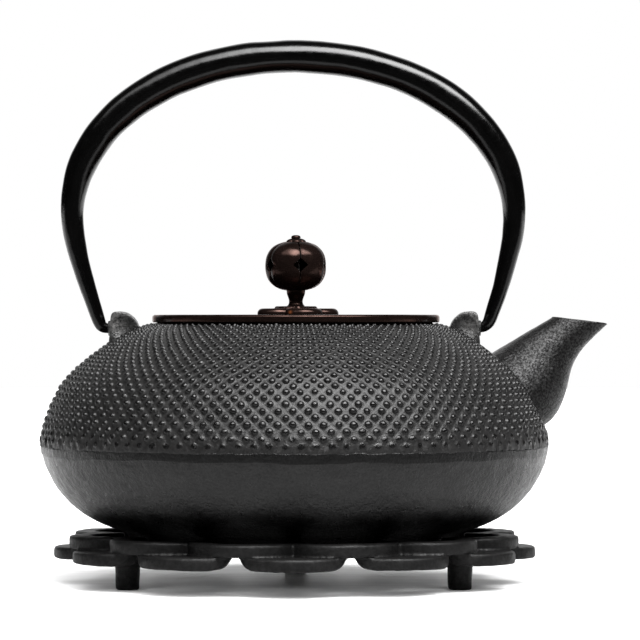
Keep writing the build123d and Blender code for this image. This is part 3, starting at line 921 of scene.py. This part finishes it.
def bar(x_from, x_to, radius, z):
    """A round bar along X."""
    y, up = oval(48, radius, radius)
    return loft([np.stack([0 * y + x, y, z + up], -1) for x in (x_from, x_to)])


# (x, z) over the lug's top, from its outer face inwards
LUG_HUMP = [
    (66.45, 97.0), (65.7, 98.3), (64.2, 98.65), (62.2, 98.6),
    (60.2, 97.95), (58.3, 96.4), (57.0, 94.5), (56.2, 92.4),
]


def build_lug(name, side, seed):
    def sided(shape):
        points, faces = shape
        return points * (side, 1, 1), faces

    top = smooth_curve(LUG_HUMP, 60)
    outline = np.vstack([[(67.3, 82.0), (66.85, 92.0)], top, [(55.6, 84.0)]])
    lug = show("lug", make_mesh(name, *sided(prism(outline, LUG_WIDTH / 2))))
    scoop_y = LUG_WIDTH / 2 + SCOOP_BALL_R - SCOOP_DEPTH
    for way in (-1, 1):
        cut(lug, "DIFFERENCE", sided(ball((62.3, way * scoop_y, 92.9), SCOOP_BALL_R)))
    soften(lug, 0.32, 7)
    cut(lug, "UNION", sided(bar(62.0, LUG_FACE_X + 0.75, 2.75, PIVOT_Z)))
    soften(lug, 0.26, 3)
    cut(lug, "DIFFERENCE", sided(bar(60.3, LUG_FACE_X + 3, 1.45, PIVOT_Z)))
    mesh = roughen(take_mesh(lug), [(0.07, 1.1), (0.12, 3.4)], seed)
    x, y, z = read_points(mesh).T
    off = np.stack([x - side * 64.4, 1.6 * (np.abs(y) - 5.4), z - 94.3], 1)
    rubbed = np.exp(-((np.linalg.norm(off, axis=1) / 3.4) ** 2))
    mark(mesh, "worn", rubbed + 0.30 * fade((z - 96.4) / 1.6))
    add_piece(name, mesh, "pot", MATT, sharp=60)


# ============================== Handle


def half_loop(bend):
    """(x, z) centre line of half the loop, from its top to the hook's end."""
    points = []
    for degrees in (90, 75, 60, 45, 30, 15, 2):
        c, s = cos(radians(degrees)), sin(radians(degrees))
        x = HANDLE_R * abs(c) ** (2 / HANDLE_POWER) if degrees < 90 else 0.0
        points.append((x, HANDLE_WIDE_Z + (HANDLE_TOP_Z - HANDLE_WIDE_Z) * s ** (2 / HANDLE_POWER)))
    main = smooth_curve(points + HANDLE_ARM + bend, 900, (1, 0), (-1, 0))
    length = run_length(main)
    dense = length[-1] - 22
    at = np.concatenate([np.linspace(0, dense, 150)[:-1], np.linspace(dense, length[-1], 70)])
    return np.stack([np.interp(at, length, main[:, k]) for k in (0, 1)], 1)


def handle_rings(centre_line):
    share = run_length(centre_line) / run_length(centre_line)[-1]
    sections = np.array(HANDLE_SECTIONS)
    fine = np.linspace(0, 1, 501)
    thick, width = (np.interp(fine, sections[:, 0], sections[:, k]) for k in (1, 2))
    window = np.hanning(13) / np.hanning(13).sum()
    thick, width = (np.convolve(np.pad(v, 6, "edge"), window, "valid") for v in (thick, width))
    thick, width = np.interp(share, fine, thick) / 2, np.interp(share, fine, width) / 2
    side = normals(centre_line)
    c, s = oval(56, 1.0, 1.0)
    x, z = (centre_line[:, k, None] + side[:, k, None] * thick[:, None] * c for k in (0, 1))
    return np.stack([x, width[:, None] * s, z], -1)


def build_handle():
    right, left = handle_rings(half_loop(BEND_RIGHT)), handle_rings(half_loop(BEND_LEFT))
    rings = np.concatenate([(left * (-1, 1, 1))[::-1], right[1:]])
    rings[..., 0] += HANDLE_LEAN * fade((rings[..., 2] - 98) / 40)
    mesh = make_mesh("handle", *loft(rings))
    bumps = [(0.16, 9.0), (0.10, 24.0), (0.03, 3.0)]
    roughen(mesh, bumps, 71, lambda co: fade((co[:, 2] - 94) / 14))      # not on the hooks
    add_piece("bail_handle", mesh, "bail", LACQUER, ["handle"])


# ============================== Lid and knob


def lid_piece(name, shape, layers, seed, replaced, sharp, wear_and_shade=None, material=PATINA):
    """One piece that rides on the lid. The wear-and-shade argument is an attribute's name and how it is
    found:
    it marks a worn spot on the rosette, and on the bud the inner faces, which get painted shade.
    """
    mesh = roughen(make_mesh(name, *shape, shift=LID_SHIFT), layers, seed)
    if wear_and_shade:
        mark(mesh, wear_and_shade[0], wear_and_shade[1](read_points(mesh)))
    add_piece(name, mesh, "lid", material, [replaced], sharp)


def build_lid():
    under, rim_in = LID_TOP_Z - LID_SHEET, LID_R - 2.0
    top = [(1.3, LID_TOP_Z)] + [(r, LID_TOP_Z) for r in np.linspace(3, 49, 40)]
    edge = corner((LID_R - 0.8, LID_TOP_Z - 1.0), 1.0, 90, 0, 9)
    foot = corner((LID_R - 0.3, LIP_TOP_Z + 0.5), 0.5, 0, -90, 7)
    below = [(rim_in + 0.3, LIP_TOP_Z), (rim_in, LIP_TOP_Z + 0.3), (rim_in, under)]
    below += [(r, under) for r in np.linspace(48, 1.3, 24)]
    shape = np.vstack([top, edge, foot, below])
    turned = np.sin(shape[:, 0] * 2 * pi / 1.9) * 0.012
    shape[:, 1] += np.where((shape[:, 1] == LID_TOP_Z) & (shape[:, 0] > 2), turned, 0)
    lid_piece("lid_cover", spun(shape, 384), [(0.03, 18.0), (0.02, 5.0)], 81, "lid_plate", 50)

    (low, high), out = heights("lid_collar"), half_width("lid_collar")
    ring = [(out, high)] + [(out, z) for z in np.linspace(high - 1, low + 1.2, 5)]
    ring += corner((out - 0.6, low + 0.6), 0.6, 0, -90, 6)
    ring += corner((out - 0.9, low + 0.5), 0.5, -90, -180, 5) + [(out - 1.4, high)]
    shape = spun(ring, 320)
    lid_piece("lid_inner_collar", shape, [(0.03, 12.0)], 82, "lid_collar", 50, material=BARE)

    low, high = heights("lid_washer")
    disc = [(1.25, high), (7.0, high), (7.0, low + 0.6)]
    disc += corner((6.4, low + 0.6), 0.6, 0, -90, 6) + [(1.25, low)]
    shape = spun(disc, 96)
    lid_piece("lid_washer_ring", shape, [(0.02, 2.0)], 83, "lid_washer", 50, material=BARE)


def flower_plate(out_r, lobe_r, low, high, first, ease, bore, disc_r=0.0, disc_top=0.0):
    """A flat five-lobed flower with domed lobes, and if asked a raised round middle."""
    columns, step, thin = 320, 2 * pi / PETALS, 0.45
    turn = turns(columns)
    off = (turn - radians(first) + step / 2) % step - step / 2
    centre = out_r - lobe_r
    reach = np.sqrt(np.maximum(lobe_r**2 - (centre * np.sin(off)) ** 2, 0.01))
    edge = centre * np.cos(off) + reach
    last = 1 - 0.1 * (1 - fade(np.linspace(0.05, 1, 14)))
    rings = []
    for share in np.concatenate([np.linspace(0, 0.5, 16), np.linspace(0.52, 0.9, 22), last]):
        r = bore + (edge - bore) * share
        to_edge = lobe_r - np.hypot(r * np.cos(off) - centre, r * np.sin(off))
        bend = 1 - np.clip(to_edge / ease, 0, 1)
        z = low + thin + (high - low - thin) * np.sqrt(np.maximum(1 - bend**2, 0))
        if disc_r:
            up = 1 - np.clip((disc_r - r) / 0.7, 0, 1)
            raised = high + (disc_top - high) * np.sqrt(np.maximum(1 - up**2, 0))
            z = np.where(r < disc_r, np.maximum(z, raised), z)
        rings.append(np.stack([r * np.cos(turn), r * np.sin(turn), z], -1))
    skirt, foot, inner = rings[-1].copy(), rings[-1] * (0.985, 0.985, 1), rings[0].copy()
    skirt[:, 2] = low + 0.25
    foot[:, 2] = inner[:, 2] = low
    return loft(rings + [skirt, foot, inner], closed=True)


# Angle of each gap between petals, and the height of its window over the bud's middle
GAPS = [(-80.0, 0.3), (-8.0, 0.3), (59.0, -1.2), (125.0, 0.3), (208.0, 0.3), (280.0, 0.3)]


def petal(index):
    """One puffed petal of the bud, between two slits that widen to half a window."""
    lat = np.radians(np.linspace(83, -83, 141))
    r = BALL_R * np.cos(lat) ** (2 / BALL_POWER)
    z = np.sign(np.sin(lat)) * BALL_HALF_HEIGHT * np.abs(np.sin(lat)) ** (2 / BALL_POWER)
    slit = np.where(z > 0, 0.27, 0.08 + 0.12 * fade((z + 9) / 9))
    across = np.linspace(-1, 1, 27)[None, :]
    middle = radians(GAPS[index][0] + GAPS[index + 1][0]) / 2
    half = radians(GAPS[index + 1][0] - GAPS[index][0]) / 2
    reach = []
    for _, window_z in GAPS[index : index + 2]:
        gap = np.maximum(slit, 2.95 * (1 - np.abs(z - window_z) / 2.7))
        reach.append(half - np.arcsin(np.clip(gap / np.maximum(r, 0.6), 0, 0.55)))
    angle = across * np.where(across < 0, reach[0][:, None], reach[1][:, None])
    puff = np.cos(angle / half * pi / 2) ** 0.55
    body = np.cos(lat)[:, None] ** 0.5
    outer = r[:, None] * (1 - 0.06 * (1 - puff) * body)
    outer = outer - 0.12 * (np.abs(across) ** 10) * body
    sheet = 1.1 - 0.65 * (np.abs(across) ** 4)
    inner = np.maximum(outer - sheet, 1.3)
    angle = middle + angle
    height = z[:, None] * (1 - 0.03 * (1 - puff))
    front, back = (
        np.stack([r * np.cos(angle), r * np.sin(angle), BALL_Z + h], -1)
        for r, h in ((outer, height), (inner, height * (1 - 0.09)))
    )
    return loft(np.concatenate([front, back[:, ::-1]], 1))


def rosette_wear(co):
    """Bare metal at a worn spot on the rosette's front lobe."""
    spot = np.stack([co[:, 0] + 1.6, 0.5 * (co[:, 1] + 14.0), co[:, 2] - LID_TOP_Z - 0.95], 1)
    return 0.7 * np.exp(-((np.linalg.norm(spot, axis=1) / 0.6) ** 2))


def bud_depth(co):
    """1 on the inner faces of the bud's petals, which are painted black as shade, 0 on their outer
    faces.
    """
    r = np.hypot(co[:, 0] - LID_SHIFT, co[:, 1]) / BALL_R
    up = np.abs(co[:, 2] - BALL_Z) / BALL_HALF_HEIGHT
    return fade((0.955 - (r**BALL_POWER + up**BALL_POWER) ** (1 / BALL_POWER)) / 0.05)


def build_knob():
    low, top = LID_TOP_Z - 0.05, heights("knob_seat")[1]
    seat = flower_plate(SEAT_R + 0.4, SEAT_LOBE_R + 0.1, low, top - 0.8, 0.0, 1.9, 1.25, 7.7, top)
    wear_and_shade = ("worn", rosette_wear)
    lid_piece("knob_rosette", seat, [(0.05, 2.2)], 91, "knob_seat", 40, wear_and_shade)

    low, high = heights("knob_stem")
    low, high = low - 0.1, high + 0.25
    waist = [(3.5, 0.0), (2.7, 0.8), (2.5, 2.0), (2.95, 3.6), (3.3, 4.7)]
    side = smooth_curve([(r, low + z) for r, z in waist] + [(3.4, high)], 40)
    stem = spun(np.vstack([side, [(1.25, high), (1.25, low)]]), 128)
    lid_piece("knob_neck", stem, [(0.03, 1.6)], 92, "knob_stem", 40)

    petals = joined(*(petal(i) for i in range(PETALS)))
    # The bud's inner faces are marked inside, and the copper paints them black as shade.
    lid_piece("knob_petals", petals, [(0.06, 2.5)], 93, "knob_shell", 40, ("inside", bud_depth))

    low, high = heights("knob_cap")
    cap = flower_plate(3.7, 1.9, low - 0.9, high - 0.2, PETAL_TURN, 2.6, 1.2)
    lid_piece("knob_crown", cap, [(0.03, 1.2)], 94, "knob_cap", 40)

    low, high = heights("knob_rivet")
    rod = [(0, low), (2.0, low + 0.05)] + corner((2.0, low + 0.6), 0.6, -60, 60, 6)
    rod += [(1.2, low + 1.2), (1.2, high - 1.4), (1.68, high - 1.2), (1.74, high - 0.75)]
    rod += [(1.5, high - 0.25), (0.8, high), (0, high + 0.02)]
    rivet = spun(rod, 64, closed=False)
    lid_piece("knob_rod", rivet, [(0.02, 0.8)], 95, "knob_rivet", 50)


# ============================== Trivet


def flat_block(low, high):
    """A slab wider than the trivet."""
    return prism([(-120, low), (120, low), (120, high), (-120, high)], 120)


def trivet_tier(low, high, hollow):
    """The CAD trivet between two heights, with its inside taken out if hollow."""
    mesh = frame["nodes"]["trivet"].data.copy()
    work = bmesh.new()
    work.from_mesh(mesh)
    bmesh.ops.remove_doubles(work, verts=work.verts, dist=1e-6)
    work.to_mesh(mesh)
    work.free()
    tier = show("tier", mesh)
    cut(tier, "INTERSECT", flat_block(low, high))
    if hollow:
        inside = [(0, -1), (57.0, -1), (57.0, 20), (0, 20)]
        cut(tier, "DIFFERENCE", spun(inside, 192, closed=False))
    soften(tier, 0.58, 2)
    return take_mesh(tier)


def build_trivet():
    tiers = (
        ("trivet_lower", -1.0, TIER_Z + 0.25, []),
        ("trivet_upper", TIER_Z - 0.25, 40.0, ["trivet"]),
    )
    for name, low, high, replaced in tiers:
        mesh = trivet_tier(low, high, hollow=not replaced)
        roughen(mesh, [(0.08, 3.0), (0.16, 11.0)], 101, lambda co: fade(co[:, 2] / 2))
        co = read_points(mesh)
        co[:, 2] -= 0.7 * fade((co[:, 2] - 5) / 5) * fade((TIER_Z - co[:, 2]) / 3)
        write_points(mesh, co)
        add_piece(name, mesh, "trivet", TRIVET_IRON, replaced, 70)


build_shell()
build_belly()
build_lip()
build_lug("pot_lug_right", 1, 111)
build_lug("pot_lug_left", -1, 121)
build_handle()
build_lid()
build_knob()
build_trivet()


# ============================== Studio


FLOOR_HALF = 4.0                     # metres
ROOM, DIM, SOFTBOX, FLOOR_FILL = 1.15, 0.035, 16.0, 8.0
LAMP_AT, LAMP_AIM = (-0.265, -0.79, 0.336), (0.085, 0.0, 0.08)
LAMP_POWER, LAMP_SIZE = 9.0, 0.20
CAMERA_X, CAMERA_Y, CAMERA_Z, LENS_MM = (AXIS_X + 9.25) * MM, -1.43, 0.0956, 221.6


def floor_shader(t):
    """Near white to the camera. To light that bounces off it, it is dark in front and paler
    behind, as the table in the photo is, and more so in reflections."""
    y = t.add("SeparateXYZ", {0: t.where}).outputs[1]
    kind = t.add("LightPath").outputs
    seen, in_mirror = kind["Is Camera Ray"], kind["Is Glossy Ray"]
    soft = t.span(y, -0.05, 0.25, 0.25, 0.6)
    edge = t.span(y, -0.28, -0.23, 0.02, 0.28)
    sharp = t.plus(edge, t.span(y, -0.05, 0.25, 0.0, 0.35))
    unseen = t.plus(soft, t.times(in_mirror, t.minus(sharp, soft)))
    # Painted reflection and shadow: stretched noise darkens the floor in streaks, for the camera only.
    painted_reflection_streaks = t.noise(1.0, 4, 0.6, at=t.stretch((9, 110, 1)))
    shown = t.span(painted_reflection_streaks, 0.3, 0.7, 0.86, 1.0)
    tone = t.plus(t.times(seen, shown), t.times(t.minus(1.0, seen), unseen))
    shade = t.add("CombineColor", {0: tone, 1: tone, 2: tone}).outputs[0]
    return {"Base Color": shade, "Roughness": 0.4, "Specular IOR Level": t.times(seen, 0.35)}


def build_floor():
    mesh = bpy.data.meshes.new("floor")
    ends = [(-1, -1), (1, -1), (1, 1), (-1, 1)]
    mesh.from_pydata([(x * FLOOR_HALF, y * FLOOR_HALF, 0) for x, y in ends], [], [range(4)])
    mesh.materials.append(surface("floor", floor_shader))
    floor = show("floor", mesh)
    return floor


def lamp_on(target, name, kind, power):
    """A lamp that lights one object only."""
    lamp = show(name, bpy.data.lights.new(name, kind))
    lamp.data.energy = power
    lit = bpy.data.collections.new(name + "_target")
    lit.objects.link(target)
    lamp.light_linking.receiver_collection = lit
    return lamp


def build_lamps(floor):
    """A wide fill that whitens the floor, and a small soft lamp, up and to the left, that
    draws the streak along the spout."""
    fill = lamp_on(floor, "floor_fill", "SUN", FLOOR_FILL)
    fill.data.angle = radians(80)
    fill.rotation_euler = (radians(70), 0, 0)
    lamp = lamp_on(bpy.data.objects["pot_spout"], "spout_lamp", "AREA", LAMP_POWER)
    lamp.data.size = LAMP_SIZE
    lamp.location = LAMP_AT
    way = Vector(LAMP_AIM) - lamp.location
    lamp.rotation_euler = way.to_track_quat("-Z", "Y").to_euler()


def build_world():
    """Pale studio: bright round the back, the sides and above, dim low in front. The
    camera sees plain white."""
    world = bpy.data.worlds.new("studio")
    bpy.context.scene.world = world
    t = Shading(world)
    way = t.add("TexCoord").outputs["Generated"]
    x, y, z = t.add("SeparateXYZ", {0: way}).outputs
    behind = t.plus(y, t.times(t.maths("MAXIMUM", z, 0.0), 0.12))
    room = t.span(behind, 0.67, 0.95, DIM, ROOM)
    room = t.times(room, t.span(x, -0.95, -0.25, 0.70, 1.0))
    box = t.times(t.span(z, 0.57, 0.76, 0, 1), t.span(y, -0.36, -0.08, 1, 0))
    sideways = t.maths("ABSOLUTE", t.minus(x, 0.08))
    box = t.times(box, t.span(sideways, 0.70, 0.99, 1, 0))
    box = t.times(box, t.span(x, -0.45, 0.20, 0.15, 1.0))
    light = t.plus(room, t.times(box, SOFTBOX))
    seen = t.add("LightPath").outputs["Is Camera Ray"]
    strength = t.plus(seen, t.times(t.minus(1.0, seen), light))
    shader = t.add("Background", {"Color": (1, 1, 1, 1), "Strength": strength})
    t.add("OutputWorld", {"Surface": shader.outputs[0]})


def build_camera():
    lens = bpy.data.cameras.new("camera")
    lens.lens, lens.sensor_width = LENS_MM, 36.0
    lens.clip_start, lens.clip_end = 0.05, 50.0
    camera = show("camera", lens)
    camera.location = (CAMERA_X, CAMERA_Y, CAMERA_Z)
    camera.rotation_euler = (radians(90), 0, 0)
    bpy.context.scene.camera = camera
    bpy.context.scene.view_settings.view_transform = "Standard"


build_lamps(build_floor())
build_world()
build_camera()
